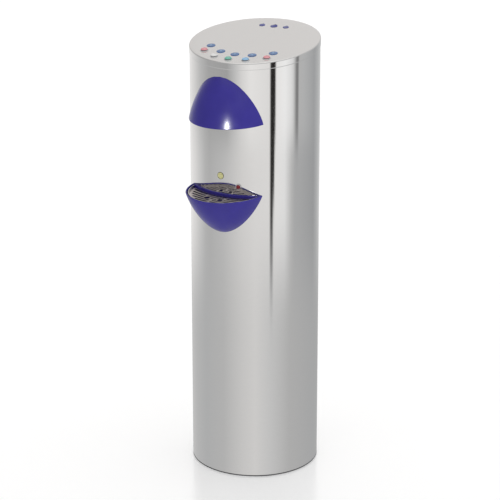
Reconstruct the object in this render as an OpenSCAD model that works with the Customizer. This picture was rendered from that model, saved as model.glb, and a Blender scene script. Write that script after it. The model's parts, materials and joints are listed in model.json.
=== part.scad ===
// Free-standing column water dispenser: a stainless cylinder with a sloping lid, push buttons on the lid,
// a moulded hood over three spouts and a moulded drip bowl with a lift-out grille. Millimetres, +Z up.
// The origin is on the floor at the column's axis, and the dispensing side faces -Y.

/* [Column] */
// Outer radius of the column's sheet-metal wrap
body_r = 150; // [146:1:154]
// Height of the lid's outer face at the column's axis
column_h = 1027; // [1015:1:1045]
// Slope of the lid, down towards the user, in degrees
lid_slope = 6.5; // [4:0.5:9]
// Sheet thickness of the wrap, the rear panel and the lid
sheet = 1.2; // [1:0.1:1.5]
// Depth of the lid's skirt, measured square to the lid
skirt_h = 16; // [11:1:18]

/* [Hood] */
// Height of the hood's lower edge above the floor
hood_z = 869; // [860:1:875]
// Half the width of the hood's plan ellipse
hood_a = 95.5; // [92:0.5:98]
// Half the depth of the hood's plan ellipse
hood_b = 108; // [102:1:112]
// Height of the hood's full dome
hood_c = 130; // [124:1:134]
// Sharpness of the hood's dome: 1 is a paraboloid, 0.5 an ellipsoid
hood_power = 0.76; // [0.7:0.02:0.9]

/* [Drip bowl] */
// Height of the bowl's rim above the floor
rim_z = 702; // [690:1:715]
// Half the width of the bowl at its rim
bowl_a = 92.5; // [88:0.5:96]
// Depth of the bowl from its tips to its front
bowl_b = 108; // [104:1:114]
// Height of the bowl's full dome
bowl_c = 101.5; // [98:0.5:108]
// Sharpness of the bowl's dome: 1 is a paraboloid, 0.5 an ellipsoid
bowl_power = 0.85; // [0.75:0.05:1]
// Drop from the rim to the grille's upper face
grille_drop = 6; // [5:1:14]

/* [Buttons] */
// Sideways pitch of the buttons
button_pitch = 40; // [36:1:41]
// Radius of the arc that the buttons follow
button_arc_r = 112; // [108:1:120]
// Distance from the column's axis to the middle button
button_reach = 128.3; // [124:0.5:129]
// Distance from each button back to its label disc
label_gap = 31.7; // [28:0.5:34]
// Turn of the button row round the column's axis, in degrees
row_turn = 3.5; // [0:0.5:5]
// Radius of a button's cap
cap_r = 8; // [7:0.1:8]
// Height of a cap above the lid when it is not pressed
cap_h = 3.8; // [3.6:0.1:5]

/* [Hidden] */

$fn = 96;
steel = "silver";
plastic_blue = "mediumblue";
gap = 0.2;                       // between sheets that lie against each other
inner_r = body_r - sheet;
liner_r = inner_r - gap;         // outer radius of what stands inside the wrap
lid_r = body_r + 1;              // the skirt goes over the wrap
shell_z = 4;                     // lower edge of the wrap
hood_y = -98;                    // plan centre of the hood
bowl_y = -119;                   // plan centre of the bowl, level with its tips
far = 1500;                      // longer than the column

// Rear opening, services recess and the rails beside them
panel_w = 100;
panel_z = [110, 930];
recess_w = 86;
recess_z = [12, 104];
plate_y = 119.5;                 // outer face of the services plate
rail_x = [84, 112];
rail_z = [30.2, 1005];
rail_flange_y = 80;
floor_z = 10.5;                  // upper face of the base plate
shelf_z = [272, 545];
shelf_t = 1.5;
panel_screw_a = 38.5;            // azimuth of the panel's screws from the rear
panel_screw_z = [150, 400, 650, 890];
lid_screw_az = [140, 180, 220];
hood_screw_az = 23.5;
hood_screw_z = 888;
bowl_screw_az = 15;
bowl_screw_z = 662;

// Feet
foot_at = [90, 90];
foot_h = 6;
stud_r = 4;

// Height of a button's bezel above the lid
bezel_h = 1.4;

// Front fittings
lamp_az = 17;
lamp_z = 722;
lens_sphere = 7.76;             // the lens stands 2 mm out of the bezel's seat over a radius of 5.2
notice_z = 743;
spigot_z = 621;
tube_hole_z = 903;
spout_x = 28;
spout_y = -175;
spout_z = 866;                   // lower end of the spouts, hidden by the hood's edge from a user's eye level
soffit_z = 879;

// Services, as [x, z] on the rear plate
power_at = [-48, 58];
rocker_x = [-9, 13];
rocker_z = 58;
rocker_tilt = 9;
inlet_at = [48, 72];
outlet_at = [48, 33];

// Inside
comp_at = [-45, -40];
comp_r = 62;
fan_z = 190;
fan_y = 45;
coil_y = [82, 100];
coil_z0 = 135;
coil_pitch = 22;
coil_half = 66;
coil_r = 4;
drier_at = [-92, 40];
cold_r = 69.8;
evap_r = 74.2;
hot_at = [-52, 10];
hot_r = 56;
filter_at = [85, 20];
valve_x = [-40, 0, 40];
valve_y = -75;
valve_z = 850;
tube_r = 4;

// ---- placing and shared shapes ----

function lid_z(y) = column_h + y * tan(lid_slope);
function button_x(i) = button_pitch * (i - 2);
function button_y(i) = button_arc_r - button_reach - sqrt(pow(button_arc_r, 2) - pow(button_x(i), 2));

// The lid's own frame: z = 0 is its outer face, x and y run in its plane.
module on_lid() translate([0, 0, column_h]) rotate([lid_slope, 0, 0]) children();

module on_lid_at(x, y) on_lid() translate([x, y / cos(lid_slope), 0]) children();

// A place in the button row's own frame, turned into the lid's.
module on_row(x, y)
    on_lid_at(x * cos(row_turn) - y * sin(row_turn), x * sin(row_turn) + y * cos(row_turn)) children();

module at_button(i) on_row(button_x(i), button_y(i)) children();

module at_label(i) on_row(button_x(i), button_y(i) + label_gap) children();

// Everything under a plane parallel to the lid, at a distance above its outer face.
module below_lid(offset) on_lid() translate([-far / 2, -far / 2, offset - far]) cube(far);

// A place on the column's side: az from the front towards +X, with local +Z pointing outwards.
module at_side(az, r, z) rotate([0, 0, az]) translate([0, -r, z]) rotate([90, 0, 0]) children();

// A place on the services plate, with local +Z pointing to the rear and local +Y up.
module at_rear(place, y = plate_y) translate([place[0], y, place[1]]) rotate([90, 0, 180]) children();

module tube_wall(r_out, r_in, z0, z1) difference() {
    translate([0, 0, z0]) cylinder(r = r_out, h = z1 - z0);
    translate([0, 0, z0 - 1]) cylinder(r = r_in, h = z1 - z0 + 2);
}

// A dome of plan half-axes a and b: height c * (1 - rho^2)^power over the relative radius rho.
module dome(a, b, c, power, steps = 20)
    scale([1, b / a, 1])
        rotate_extrude()
            polygon(concat([[0, 0]],
                [for (i = [0:steps]) [a * cos(90 * i / steps), c * pow(sin(90 * i / steps), 2 * power)]]));

// A straight round rod from p to q.
module rod(p, q, r) {
    d = q - p;
    flat = norm([d[0], d[1]]);
    translate(p) rotate([0, atan2(flat, d[2]), atan2(d[1], d[0])]) cylinder(r = r, h = norm(d), $fn = 24);
}

function unit(v) = v / norm(v);

function turn(u, v) = acos(min(1, u * v));

// The bend at p from direction u to direction v, with its centre line at radius bend.
module elbow(p, u, v, r, bend) {
    n = unit(v - u * (u * v));
    c = p - u * bend * tan(turn(u, v) / 2) + n * bend;
    z = cross(-n, u);
    multmatrix([for (k = [0:2]) [-n[k], u[k], z[k], c[k]]])
        rotate_extrude(angle = turn(u, v)) translate([bend, 0]) circle(r = r, $fn = 24);
}

// A tube of outer radius r through the given points. Each corner is a bend swaged over the straights.
module pipe(points, r, bend = 10) {
    end = len(points) - 1;
    p = [for (i = [0:end]) if (i == 0 || i == end
        || turn(unit(points[i] - points[i - 1]), unit(points[i + 1] - points[i])) > 1) points[i]];
    last = len(p) - 1;
    u = [for (i = [0:last - 1]) unit(p[i + 1] - p[i])];
    cut = [for (i = [0:last]) i == 0 || i == last ? 0 : bend * tan(turn(u[i - 1], u[i]) / 2) - bend / 12];
    for (i = [0:last - 1]) rod(p[i] + u[i] * cut[i], p[i + 1] - u[i] * cut[i + 1], r);
    for (i = [1:1:last - 1]) elbow(p[i], u[i - 1], u[i], r + 0.2, bend);
}

// An M4 pan-head screw: the head stands on z = 0 and the shank runs down.
module screw(length) {
    difference() {
        translate([0, 0, 0.07]) cylinder(r = 4, h = 2.4, $fn = 32);
        translate([0, 0, 1.2]) cylinder(r = 1.5, h = 2, $fn = 6);
    }
    translate([0, 0, -length]) cylinder(r = 2, h = length + 0.1, $fn = 32);
}

module screw_hole(r = 2.2) translate([0, 0, -20]) cylinder(r = r, h = 40, $fn = 32);

module at_panel_screws() for (z = panel_screw_z, side = [-1, 1])
    at_side(180 + side * panel_screw_a, body_r, z) children();

module at_lid_screws() for (az = lid_screw_az)
    at_side(az, lid_r, lid_z(-lid_r * cos(az)) - skirt_h / 2 - 1) children();

module at_hood_screws() for (side = [-1, 1]) at_side(side * hood_screw_az, inner_r, hood_screw_z) children();

module at_bowl_screws() for (side = [-1, 1])
    at_side(side * bowl_screw_az, body_r + 3.1, bowl_screw_z) children();

// ---- casing ----

module body_shell() color(steel) difference() {
    intersection() {
        tube_wall(body_r, inner_r, shell_z, column_h + 60);
        below_lid(-sheet - 0.3);
    }
    translate([-panel_w, 60, panel_z[0]]) cube([2 * panel_w, 120, panel_z[1] - panel_z[0]]);
    translate([-recess_w, 60, recess_z[0]]) cube([2 * recess_w, 120, recess_z[1] - recess_z[0]]);
    at_side(0, body_r, tube_hole_z) translate([0, 0, -20]) cylinder(r = 21, h = 40);
    at_side(0, body_r, spigot_z) screw_hole(8.2);
    at_side(lamp_az, body_r, lamp_z) screw_hole(5.2);
    at_lid_screws() screw_hole();
    at_hood_screws() screw_hole();
    at_bowl_screws() screw_hole();
}

// A row of slots through the rear panel: count rows from z0 upwards.
module louvre_rows(z0, count) for (row = [0:count - 1], bay = [-1, 0, 1])
    translate([bay * 50 - 20, 60, z0 + row * 12]) cube([40, 120, 5]);

module rear_panel() color(steel) difference() {
    intersection() {
        tube_wall(body_r, inner_r, panel_z[0] + 0.6, panel_z[1] - 0.6);
        translate([0.6 - panel_w, 60, 0]) cube([2 * panel_w - 1.2, 120, far]);
    }
    louvre_rows(128, 11);
    louvre_rows(838, 6);
    at_panel_screws() screw_hole();
}

module case_screws() color("gainsboro") {
    at_panel_screws() screw(8);
    at_lid_screws() screw(8);
    at_hood_screws() rotate([180, 0, 0]) screw(14);
    at_bowl_screws() screw(9);
}

module lid() color(steel) {
    difference() {
        intersection() {
            cylinder(r = lid_r, h = far);
            below_lid(0);
        }
        below_lid(-skirt_h);
        intersection() {
            cylinder(r = body_r + gap, h = far);
            below_lid(-sheet);
        }
        for (i = [0:4]) at_button(i) screw_hole(cap_r + 1.35);
        at_lid_screws() screw_hole();
    }
    // weld studs that carry the control board
    for (x = [-86, -20, 20, 86]) on_lid_at(x, -62)
        translate([0, 0, -18.4]) cylinder(r = 2.5, h = 18.5 - sheet, $fn = 24);
}

module top_ring() color("lightgray") difference() {
    intersection() {
        cylinder(r = liner_r, h = far);
        below_lid(-sheet - 1);
    }
    below_lid(-sheet - 23);
    cylinder(r = liner_r - 6, h = far);
    intersection() {
        cylinder(r = liner_r - 1.5, h = far);
        below_lid(-sheet - 2.5);
    }
    at_lid_screws() screw_hole(2.1);
}

module at_feet() for (sx = [-1, 1], sy = [-1, 1]) translate([sx * foot_at[0], sy * foot_at[1], 0]) children();

module base_plate() color("darkgray") difference() {
    union() {
        translate([0, 0, floor_z - 2.5]) cylinder(r = liner_r, h = 2.5);
        difference() {
            tube_wall(liner_r, liner_r - 1.8, floor_z - 2, 30);
            translate([-recess_w + 0.5, 60, floor_z + 0.5]) cube([2 * recess_w - 1, 120, 40]);
        }
        at_feet() translate([0, 0, floor_z - 0.1]) cylinder(r = 7.5, h = 6.6, $fn = 6);
    }
    at_feet() screw_hole(stud_r + 0.05);
}

module base_trim() color("dimgray") tube_wall(body_r, liner_r - 0.6, 1.6, shell_z);

module foot() color("black") {
    cylinder(r1 = 18, r2 = 15.5, h = foot_h, $fn = 48);
    translate([0, 0, foot_h - 0.1]) cylinder(r = stud_r, h = 28, $fn = 32);
}

module foot_at_corner(sx, sy) translate([sx * foot_at[0], sy * foot_at[1], 0]) foot();

// One rear rail: a strip behind the edges of the wrap and the panel, a web and an inner flange.
module rail() difference() {
    union() {
        intersection() {
            tube_wall(liner_r, liner_r - 1.8, rail_z[0], rail_z[1]);
            translate([rail_x[0], 60, 0]) cube([rail_x[1] - rail_x[0], 90, far]);
        }
        intersection() {
            cylinder(r = liner_r - 1, h = far);
            translate([98, rail_flange_y, rail_z[0]]) cube([1.5, 40, rail_z[1] - rail_z[0]]);
        }
        translate([rail_x[0], rail_flange_y, rail_z[0]]) cube([15.5, 1.5, rail_z[1] - rail_z[0]]);
    }
    at_panel_screws() screw_hole(2.1);
}

module frame_rail_left() color("gray") mirror([1, 0, 0]) rail();

module frame_rail_right() color("gray") rail();

// Both shelves, with the holes that pipes pass through.
module tank_shelves() color("gray") for (z = shelf_z) difference() {
    union() {
        intersection() {
            translate([0, 0, z]) cylinder(r = liner_r - 2.1, h = shelf_t);
            translate([-97, -150, z]) cube([194, 150 + rail_flange_y - 0.5, shelf_t]);
        }
        translate([-97, rail_flange_y - 2, z - 10]) cube([194, 1.5, 10.1]);
    }
    for (place = [[0, 0, 8], [evap_r, 0, 5.5], [valve_x[0], -115, 7]])
        translate([place[0], place[1], z]) screw_hole(place[2]);
}

// ---- services at the rear ----

module services_plate() color(steel) difference() {
    intersection() {
        cylinder(r = liner_r, h = far);
        difference() {
            translate([-83.4, plate_y - 1.5, recess_z[0]]) cube([166.8, 60, recess_z[1] - recess_z[0]]);
            translate([-82.2, plate_y, recess_z[0] + 1.2]) cube([164.4, 60, recess_z[1] - recess_z[0] - 2.4]);
        }
    }
    at_rear(power_at) cube([28.4, 20.8, 20], center = true);
    for (x = rocker_x) at_rear([x, rocker_z]) cube([15.4, 23.4, 20], center = true);
    at_rear(inlet_at) screw_hole(12.3);
    at_rear(outlet_at) screw_hole(7.6);
}

module power_inlet() color("black") at_rear(power_at) {
    difference() {
        union() {
            translate([-24, -14, 0]) cube([48, 28, 3]);
            translate([-14, -10.2, -20]) cube([28, 20.4, 20.1]);
        }
        translate([-12, -8.2, -14]) cube([24, 16.4, 20]);
        for (x = [-20, 20]) translate([x, 0, 0]) screw_hole(1.7);
    }
    for (place = [[0, 3.5], [-7, -0.5], [7, -0.5]])
        translate([place[0] - 1, place[1] - 2, -14.1]) cube([2, 4, 12]);
}

module rocker_frames() color("black") for (x = rocker_x) at_rear([x, rocker_z]) difference() {
    union() {
        translate([-8.5, -12.5, 0]) cube([17, 25, 2]);
        translate([-7.5, -11.5, -19]) cube([15, 23, 19.1]);
    }
    translate([-5.9, -10.4, -16]) cube([11.8, 20.8, 20]);
    translate([-7, 0, -3.5]) rotate([0, 90, 0]) cylinder(r = 1.55, h = 14, $fn = 24);
}

// A rocker on its trunnions, its two faces meeting in a shallow V, tipped to the side that is pressed.
module rocker(x) at_rear([x, rocker_z]) translate([0, 0, -3.5]) rotate([rocker_tilt, 0, 0]) {
    rotate([90, 0, 90]) linear_extrude(height = 11, center = true)
        polygon([[-9, -3], [9, -3], [9, 7.2], [0, 5.6], [-9, 7.2]]);
    rotate([0, 90, 0]) cylinder(r = 1.5, h = 13, center = true, $fn = 24);
}

module cooling_rocker() color("green") rocker(rocker_x[0]);

module heating_rocker() color("red") rocker(rocker_x[1]);

module water_inlet() color("goldenrod") at_rear(inlet_at) difference() {
    union() {
        cylinder(r = 18, h = 5, $fn = 6);
        translate([0, 0, 4.9]) cylinder(r = 13.2, h = 15.6);
        translate([0, 0, -19.5]) cylinder(r = 12, h = 19.6);
        translate([0, 0, -23.5]) cylinder(r = 6, h = 4.1);
    }
    translate([0, 0, -15]) cylinder(r = 9, h = 40);
    translate([0, 0, -30]) cylinder(r = 3, h = 20);
}

module drain_outlet() color("white") at_rear(outlet_at) difference() {
    union() {
        cylinder(r = 12, h = 4);
        translate([0, 0, 3.9]) cylinder(r = 8, h = 16.6);
        translate([0, 0, -19.5]) cylinder(r = 7.4, h = 19.6);
        translate([0, 0, -31]) cylinder(r = 6, h = 12);
    }
    translate([0, 0, -40]) cylinder(r = 4.5, h = 60);
}

// ---- hood and spouts ----

module hood_solid() translate([0, hood_y, hood_z]) dome(hood_a, hood_b, hood_c, hood_power);

// How far the hood's inner wall has drawn in at height z, as a share of its half-axes.
function hood_share(z) = sqrt(1 - pow((z - hood_z) / (hood_c - 3.5), 1 / hood_power));
soffit_t = 2.5;
soffit_a = (hood_a - 3) * hood_share(soffit_z + soffit_t) - 1;
soffit_b = (hood_b - 3) * hood_share(soffit_z + soffit_t) - 1;

module hood() color(plastic_blue) difference() {
    union() {
        difference() {
            hood_solid();
            translate([0, hood_y, hood_z - 0.01]) dome(hood_a - 3, hood_b - 3, hood_c - 3.5, hood_power);
        }
        for (side = [-1, 1]) intersection() {
            hood_solid();
            at_side(side * hood_screw_az, body_r, hood_screw_z) cylinder(r = 4.5, h = 60, $fn = 32);
        }
    }
    cylinder(r = body_r + 0.1, h = far);
    at_hood_screws() translate([0, 0, -2]) cylinder(r = 2.05, h = 16, $fn = 24);
}

module spout_soffit() color("white") difference() {
    translate([0, hood_y, soffit_z]) scale([1, soffit_b / soffit_a, 1]) cylinder(r = soffit_a, h = soffit_t);
    cylinder(r = body_r + 0.3, h = far);
    for (i = [-1:1]) translate([i * spout_x, spout_y, soffit_z]) screw_hole(5.8);
}

module spout(x) translate([x, spout_y, 0]) difference() {
    union() {
        translate([0, 0, spout_z]) cylinder(r = 5.5, h = 897 - spout_z, $fn = 48);
        translate([0, 0, soffit_z + 2.7]) cylinder(r = 8.5, h = 2.3, $fn = 48);
    }
    translate([0, 0, spout_z - 1]) cylinder(r = 3.4, h = 24, $fn = 32);
}

module cold_spout() color("lightblue") spout(-spout_x);

module ambient_spout() color("white") spout(0);

module hot_spout() color("indianred") spout(spout_x);

// ---- drip bowl ----

module bowl_dome(inset) translate([0, bowl_y, rim_z + (inset > 0 ? 0.01 : 0)]) mirror([0, 0, 1])
    dome(bowl_a - inset, bowl_b - inset, bowl_c - inset, bowl_power);

module bowl_slice(a, b, z, h) translate([0, bowl_y, z]) scale([1, b / a, 1]) cylinder(r = a, h = h);

grille_z = rim_z - grille_drop;
grille_t = 1.5;
grille_edge = 4.5;
function bowl_share(z) = sqrt(1 - pow((rim_z - z) / (bowl_c - 3), 1 / bowl_power));
grille_a = (bowl_a - 3) * bowl_share(grille_z - grille_t) - 1;
grille_b = (bowl_b - 3) * bowl_share(grille_z - grille_t) - 1;
back_r = body_r + 3.1;

module drip_bowl() color(plastic_blue) difference() {
    union() {
        difference() {
            bowl_dome(0);
            difference() {
                bowl_dome(3);
                cylinder(r = back_r, h = far);
            }
        }
        // ledge that the grille rests on
        difference() {
            intersection() {
                bowl_dome(1);
                translate([-200, -300, grille_z - grille_t - 3.3]) cube([400, 300, 3]);
            }
            difference() {
                bowl_slice(grille_a - 5, grille_b - 5, grille_z - 10, 20);
                cylinder(r = back_r + 5, h = far);
            }
        }
    }
    cylinder(r = body_r + 0.1, h = far);
    at_side(0, body_r, spigot_z) translate([0, 0, -1]) cylinder(r = 6.2, h = 9);
    at_bowl_screws() screw_hole(2.05);
}

slot_w = 5.5;
slot_r = [for (k = [0:5]) 161 + 10.5 * k];

// Whether a place on the grille, given by radius and azimuth, is clear of its edge.
function on_grille(r, az) =
    pow(r * sin(az) / (grille_a - 7), 2) + pow((-r * cos(az) - bowl_y) / (grille_b - 7), 2) < 1;

function reach(r) = max([for (az = [0:0.5:45]) on_grille(r, az) ? az : 0]);

// One curved slot of the grille, centred on azimuth az.
module slot(r, az, span) rotate([0, 0, az - span / 2 - 90])
    rotate_extrude(angle = span) translate([r - slot_w / 2, grille_z - 5]) square([slot_w, 10]);

// Two holes, each big enough for a fingertip, to lift the grille out by.
module finger_holes(r) for (side = [-1, 1])
    translate([side * 17.5, -181, grille_z - 5]) cylinder(r = r, h = 10, $fn = 48);

// A slotted plate with an upturned edge along the front.
module drip_grille() color(steel) difference() {
    union() {
        bowl_slice(grille_a, grille_b, grille_z - grille_t, grille_t);
        difference() {
            bowl_slice(grille_a, grille_b, grille_z - grille_t, grille_t + grille_edge);
            bowl_slice(grille_a - 1, grille_b - 1, grille_z - grille_t - 1, grille_t + grille_edge + 2);
        }
    }
    cylinder(r = back_r + 1, h = far);
    difference() {
        for (r = slot_r) {
            widest = reach(r);
            cells = max(1, floor(2 * widest / (2400 / r)));
            step = 2 * widest / cells;
            for (c = [0:cells - 1]) slot(r, -widest + step * (c + 0.5), step - 360 / r);
        }
        finger_holes(9.3);
    }
    finger_holes(7);
}

module drain_spigot() color("white") at_side(0, body_r, spigot_z) difference() {
    union() {
        translate([0, 0, -20]) cylinder(r = 6, h = 24);
        translate([0, 0, -4.5]) cylinder(r = 8, h = 3, $fn = 6);
    }
    translate([0, 0, -25]) cylinder(r = 4.2, h = 40);
}

module drain_hose() color("whitesmoke") difference() {
    pipe([[0, -141, spigot_z], [0, -122, spigot_z], [118, -55, spigot_z], [118, -55, outlet_at[1]],
        [48, 62, outlet_at[1]], [48, 99.8, outlet_at[1]]], 8.5, 25);
    translate([0, -142, spigot_z]) rotate([-90, 0, 0]) cylinder(r = 6.05, h = 13);
    translate([48, 86, outlet_at[1]]) rotate([-90, 0, 0]) cylinder(r = 6.05, h = 20);
}

// ---- front fittings ----

module pilot_lamp_lens() color("red") at_side(lamp_az, body_r, lamp_z) intersection() {
    translate([0, 0, 3.6 - lens_sphere]) sphere(r = lens_sphere);
    translate([-10, -10, 1.6]) cube(20);
}

module pilot_lamp_body() color(steel) at_side(lamp_az, body_r, lamp_z) {
    difference() {
        translate([0, 0, 0.05]) cylinder(r1 = 7, r2 = 6.2, h = 3.2);
        translate([0, 0, 1.55]) cylinder(r = 5.4, h = 4);
    }
    translate([0, 0, -22]) cylinder(r = 5, h = 22.2);
    translate([0, 0, -5.6]) cylinder(r = 8, h = 3, $fn = 6);
}

module notice_disc() color("yellow") intersection() {
    tube_wall(body_r + 0.6, body_r, notice_z - 20, notice_z + 20);
    at_side(0, body_r - 10, notice_z) cylinder(r = 8.4, h = 20);
}

module label_discs() color("royalblue") for (i = [0:4]) at_label(i) {
    cylinder(r = 10.2, h = 0.7, $fn = 64);
    translate([0, 0, 0.7]) cylinder(r1 = 10.2, r2 = 9.2, h = 0.5, $fn = 64);
}

// A plain water drop of radius r, its point towards the rear.
module drop(r) {
    circle(r = r, $fn = 48);
    rotate([0, 0, 45]) square([r, r]);
}

module emblem() color("royalblue") on_lid_at(-8, 97) rotate([0, 0, 2 * row_turn]) for (i = [-1:1])
    translate([i * 30, 0, 0]) linear_extrude(height = 0.6) drop(8.4 - 1.4 * abs(i));

// ---- buttons ----

module button_bezels() color(steel) for (i = [0:4]) at_button(i) difference() {
    union() {
        cylinder(r1 = cap_r + 2.2, r2 = cap_r + 1.7, h = bezel_h, $fn = 64);
        translate([0, 0, -13]) cylinder(r = cap_r + 1.2, h = 13.1, $fn = 64);
    }
    translate([0, 0, -20]) cylinder(r = cap_r + 0.1, h = 40, $fn = 64);
}

module button_nuts() color("goldenrod") for (i = [0:4]) at_button(i) difference() {
    translate([0, 0, -sheet - 3.4]) cylinder(r = 13, h = 3.2, $fn = 6);
    screw_hole(cap_r + 1.3);
}

// A cap with a rounded edge and a stem that reaches the switch under it.
module button_cap(i, tint) color(tint) at_button(i) {
    rotate_extrude($fn = 64) polygon(concat([[0, -4], [cap_r, -4]],
        [for (a = [0:15:90]) [cap_r - 1.4 + 1.4 * cos(a), cap_h - 1.8 + 1.4 * sin(a)]], [[0, cap_h]]));
    translate([0, 0, -12]) cylinder(r = 2.5, h = 8.1, $fn = 32);
}

module button_cap_1() button_cap(0, "tomato");

module button_cap_2() button_cap(1, "white");

module button_cap_3() button_cap(2, "mediumseagreen");

module button_cap_4() button_cap(3, "skyblue");

module button_cap_5() button_cap(4, "tomato");

module control_board() color("darkgreen") {
    intersection() {
        on_lid() translate([-94, -140, -20.1]) cube([188, 86, 1.6]);
        cylinder(r = 139, h = far);
    }
    for (i = [0:4]) at_button(i) translate([-3, -3, -18.6]) cube([6, 6, 4.2]);
    for (x = [-60, -20, 25]) on_lid_at(x, -74) translate([-9, -7, -18.6]) cube([18, 14, 2.5]);
    on_lid_at(62, -70) translate([-12, -5, -29]) cube([24, 10, 9]);
}

// ---- cooling ----

module compressor() color("#303236") {
    translate([comp_at[0], comp_at[1], 0]) difference() {
        union() {
            translate([0, 0, 28]) rotate_extrude() polygon(concat([[0, 0]],
                [for (a = [0:10:90]) [comp_r - 26 + 26 * sin(a), 26 - 26 * cos(a)]],
                [for (a = [0:10:90]) [comp_r - 34 + 34 * cos(a), 106 + 34 * sin(a)]], [[0, 140]]));
            translate([0, 0, 92]) cylinder(r = comp_r + 3, h = 4);
            translate([-70, -36, 24.2]) cube([140, 72, 4]);
        }
        for (sx = [-58, 58], sy = [-27, 27]) translate([sx, sy, 24]) screw_hole(4.1);
    }
    rod([comp_at[0] - comp_r + 3, comp_at[1], 110], [comp_at[0] - comp_r - 7, comp_at[1], 110], 5);
    rod([comp_at[0], comp_at[1] + comp_r - 3, 118], [comp_at[0], comp_at[1] + comp_r + 6, 118], 4);
    translate([comp_at[0] + comp_r - 4, comp_at[1] - 22, 60]) cube([26, 44, 44]);
}

module compressor_grommets() color("black") for (sx = [-58, 58], sy = [-27, 27])
    translate([comp_at[0] + sx, comp_at[1] + sy, floor_z]) {
        cylinder(r = 10, h = 13.6, $fn = 32);
        cylinder(r = 4, h = 22, $fn = 32);
    }

function coil_z(row) = coil_z0 + coil_pitch * row;

// A half ring of tube standing at an end of the coil, joining two tubes that are span apart.
module bend(span) rotate([0, 0, -90])
    rotate_extrude(angle = 180) translate([span / 2, 0]) circle(r = coil_r, $fn = 32);

module condenser_coil() color("darkorange") {
    for (y = coil_y) {
        for (row = [0:5]) rod([-coil_half, y, coil_z(row)], [coil_half, y, coil_z(row)], coil_r);
        for (row = [0:4]) translate([row % 2 == 0 ? coil_half : -coil_half, y, coil_z(row) + coil_pitch / 2])
            mirror([row % 2, 0, 0]) rotate([90, 0, 0]) bend(coil_pitch);
    }
    translate([-coil_half, (coil_y[0] + coil_y[1]) / 2, coil_z(5)])
        mirror([1, 0, 0]) bend(coil_y[1] - coil_y[0]);
    pipe([[-coil_half, coil_y[0], coil_z(0)], [-72, coil_y[0], coil_z(0)], [-72, 62, coil_z(0)]], coil_r, 5);
    pipe([[-coil_half, coil_y[1], coil_z(0)], [-72, coil_y[1], coil_z(0)],
        [-72, coil_y[1], 118], [-72, 62, 118]], coil_r, 5);
}

// A fin in the plane of the condenser's side, with its tube holes: drawn with x as y and y as z.
module fin_outline(y0, y1, z0, z1) difference() {
    translate([y0, z0]) square([y1 - y0, z1 - z0]);
    for (y = coil_y, row = [0:5]) translate([y, coil_z(row)]) circle(r = coil_r + 0.1, $fn = 32);
}

module condenser_fins() color("lightsteelblue") {
    for (i = [0:22]) translate([-58 + i * 116 / 22, 0, 0]) rotate([90, 0, 90])
        linear_extrude(height = 0.5) fin_outline(73, 110, 122, 258);
    for (x = [-64.5, 63]) translate([x, 0, 0]) rotate([90, 0, 90]) linear_extrude(height = 1.5) union() {
        fin_outline(71, 112, 120, 260);
        translate([71, floor_z]) square([20, 110]);
    }
}

module fan_frame() color("#202224") translate([0, fan_y, fan_z]) rotate([-90, 0, 0]) {
    difference() {
        translate([-60, -60, 0]) cube([120, 120, 25]);
        translate([0, 0, -1]) cylinder(r = 56, h = 27);
        for (sx = [-52, 52], sy = [-52, 52])
            translate([sx, sy, 0]) cylinder(r = 2.3, h = 60, center = true, $fn = 24);
    }
    translate([0, 0, 18.5]) cylinder(r = 20, h = 6.5);
    for (a = [45:90:315]) rotate([0, 0, a]) translate([18, -3, 20]) cube([40, 6, 5]);
    translate([0, 0, 4]) cylinder(r = 2, h = 15, $fn = 24);
}

module fan_rotor() color("#404448") translate([0, fan_y, fan_z]) rotate([-90, 0, 0]) {
    difference() {
        translate([0, 0, 2.5]) cylinder(r = 19, h = 15);
        translate([0, 0, 3.5]) cylinder(r = 2.05, h = 15, $fn = 24);
    }
    for (a = [0:72:288]) intersection() {
        tube_wall(53.5, 18, 2.5, 17.5);
        rotate([0, 0, a]) translate([36, 0, 10]) rotate([32, 0, 0]) cube([40, 24, 1.4], center = true);
    }
}

module filter_drier() color("peru") translate([drier_at[0], drier_at[1], 150]) {
    cylinder(r1 = 5, r2 = 11, h = 12, $fn = 48);
    translate([0, 0, 12]) cylinder(r = 11, h = 76, $fn = 48);
    translate([0, 0, 88]) cylinder(r1 = 11, r2 = 3, h = 12, $fn = 48);
}

module refrigerant_lines() color("peru") {
    pipe([[comp_at[0], comp_at[1] + comp_r + 6, 118], [comp_at[0], 36, 118],
        [-72, 36, 118], [-72, 62, 118]], 3, 6);
    pipe([[-72, 62, coil_z(0)], [-72, 47, coil_z(0)], [drier_at[0], drier_at[1], coil_z(0)],
        [drier_at[0], drier_at[1], 150]], 3, 6);
    pipe([[drier_at[0], drier_at[1], 250], [drier_at[0], drier_at[1], 261],
        [evap_r, 0, 261], [evap_r, 0, 266]], 1.5, 4);
    translate([-evap_r, 0, 536]) cylinder(r = 4.6, h = 8, $fn = 32);
    pipe([[-evap_r, 0, 540], [-122, comp_at[1], 540], [-122, comp_at[1], 110],
        [comp_at[0] - comp_r - 7, comp_at[1], 110]], 3.5, 6);
}

module cold_tank() color(steel) difference() {
    union() {
        translate([0, 0, 292.2]) cylinder(r = cold_r, h = 208);
        translate([0, 0, 258]) cylinder(r = 5, h = 35, $fn = 32);
        translate([0, 0, 500]) cylinder(r = 5, h = 35, $fn = 32);
    }
    translate([0, 0, 293.4]) cylinder(r = cold_r - 1.2, h = 205.6);
    translate([0, 0, 250]) cylinder(r = 3.6, h = 300, $fn = 32);
}

evap_z = [for (k = [0:10]) 320 + 14 * k];

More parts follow.
